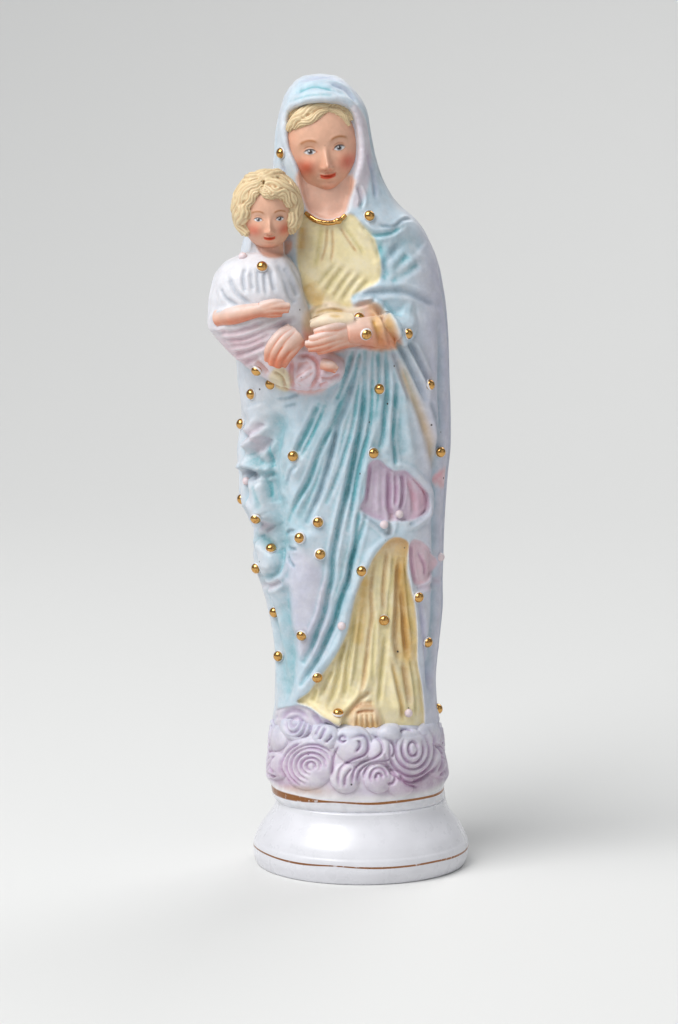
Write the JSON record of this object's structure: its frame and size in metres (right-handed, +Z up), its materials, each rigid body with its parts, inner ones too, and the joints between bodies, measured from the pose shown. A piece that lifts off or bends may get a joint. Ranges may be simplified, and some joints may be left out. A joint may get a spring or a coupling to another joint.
{
  "type": "religious statuette",
  "caption": "Slender bisque porcelain statuette of a veiled mother with her child on one arm, in long folded robes over a scrolled cloud on a round flared plinth, set with raised gilt drops.",
  "frame": {"origin": "centre of the plinth's flat underside", "axes": "+Z up along the standing figure, -Y towards the viewer that the faces look at, +X to that viewer's right"},
  "size_m": [0.0653, 0.0543, 0.2],
  "materials": {
    "painted_bisque": null
  },
  "bodies": {
    "root": {"virgin_and_child_statue": "painted_bisque"}
  },
  "joints": []
}
